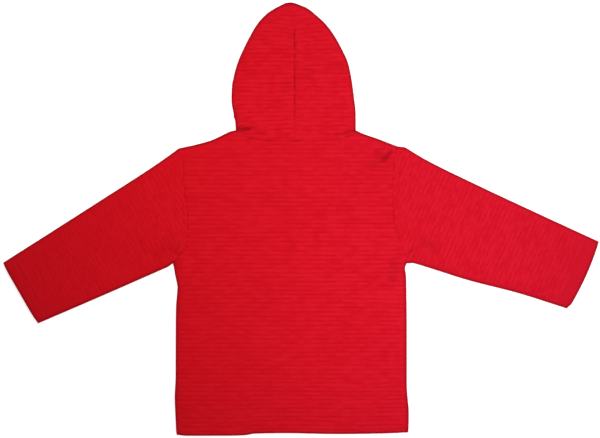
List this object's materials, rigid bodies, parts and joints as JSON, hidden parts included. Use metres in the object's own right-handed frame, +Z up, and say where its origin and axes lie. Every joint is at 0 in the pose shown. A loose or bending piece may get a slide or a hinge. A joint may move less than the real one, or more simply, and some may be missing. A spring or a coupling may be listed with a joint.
{
  "type": "child's hooded winter jacket",
  "caption": "Hooded ribbed-knit jacket laid flat on its front, back uppermost, with its sleeves spread and a closed zip underneath.",
  "frame": {"origin": "middle of the laid-out jacket's outline, on the surface it lies on", "axes": "+Z up, +Y from the hem to the hood, -X to the wearer's left sleeve"},
  "size_m": [0.919, 0.6665, 0.0106],
  "materials": {
    "knit": "matt red crosswise-ribbed knit, slightly fuzzy",
    "zip_tape": "woven red tape",
    "zip_teeth": "moulded red teeth",
    "zip_metal": "plain nickel-coloured metal"
  },
  "bodies": {
    "jacket": {"back": "knit", "left_front": "knit", "right_front": "knit", "left_sleeve": "knit", "right_sleeve": "knit", "left_hood": "knit", "right_hood": "knit", "zip_tape_left": "zip_tape", "zip_tape_right": "zip_tape", "zip_chain": "zip_teeth", "zip_box": "zip_metal", "zip_slider": "zip_metal"},
    "pull_tab": {"zip_pull_tab": "zip_metal"}
  },
  "joints": [
    {"name": "pull_tab_hinge", "type": "hinge", "parent": "jacket", "child": "pull_tab", "pos_m": [-0.012, 0.0615, 0.0024], "axis": [1, 0, 0], "range_deg": [0, 170]}
  ]
}
